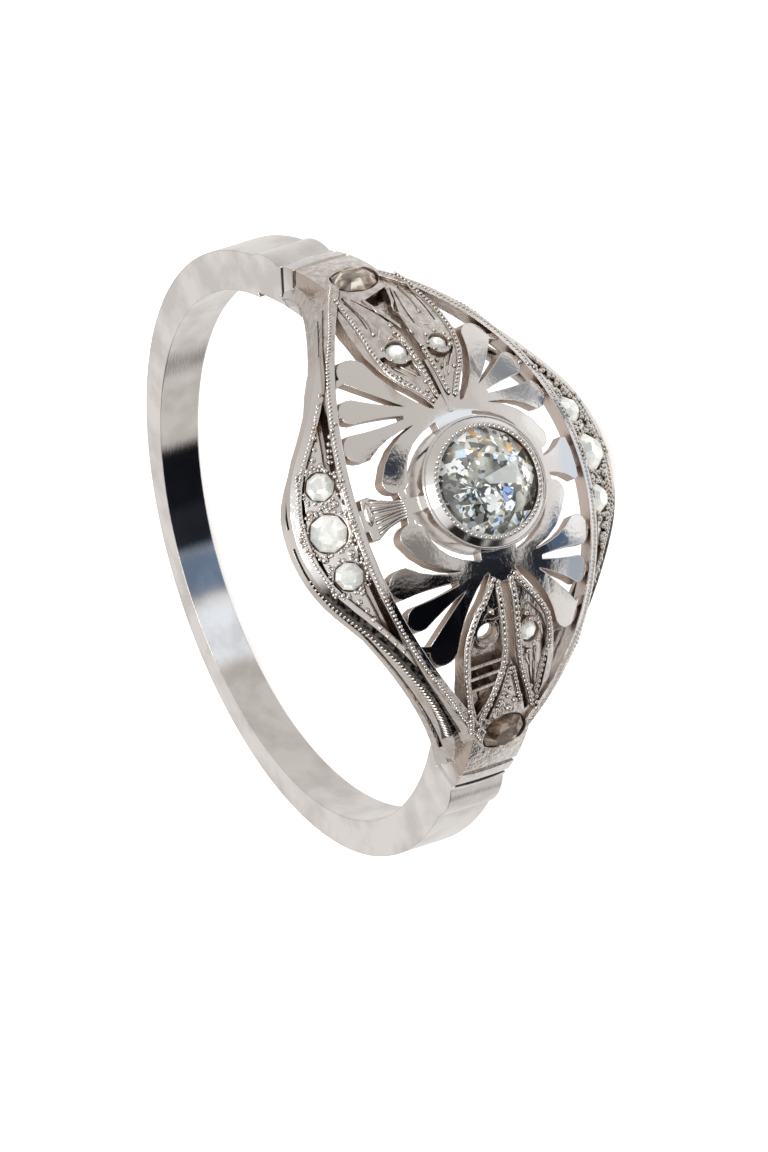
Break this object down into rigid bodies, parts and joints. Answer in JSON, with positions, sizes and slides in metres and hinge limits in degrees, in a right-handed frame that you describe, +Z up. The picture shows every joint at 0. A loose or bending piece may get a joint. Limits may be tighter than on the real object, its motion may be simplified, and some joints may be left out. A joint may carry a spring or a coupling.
{
  "type": "engagement ring",
  "caption": "Pierced bombe finger ring with a bezel-set round centre stone, beaded rails and small side stones, lying on its side.",
  "frame": {"origin": "centre of the finger hole", "axes": "+X runs across the head from one shoulder to the other, +Z is up from the surface that the ring lies on, and the head faces -Y and a little up"},
  "size_m": [0.0194, 0.0218, 0.0109],
  "materials": {
    "white_gold": "polished, with dark hollows",
    "diamond": "polished facets",
    "smoky_stone": "polished facets"
  },
  "bodies": {
    "root": {"ring_mount": "white_gold", "centre_diamond": "diamond", "border_stone_1": "diamond", "border_stone_2": "diamond", "border_stone_3": "diamond", "border_stone_4": "diamond", "border_stone_5": "diamond", "border_stone_6": "diamond", "leaf_stone_1": "diamond", "leaf_stone_2": "diamond", "leaf_stone_3": "diamond", "end_stone_1": "smoky_stone", "end_stone_2": "smoky_stone"}
  },
  "joints": []
}
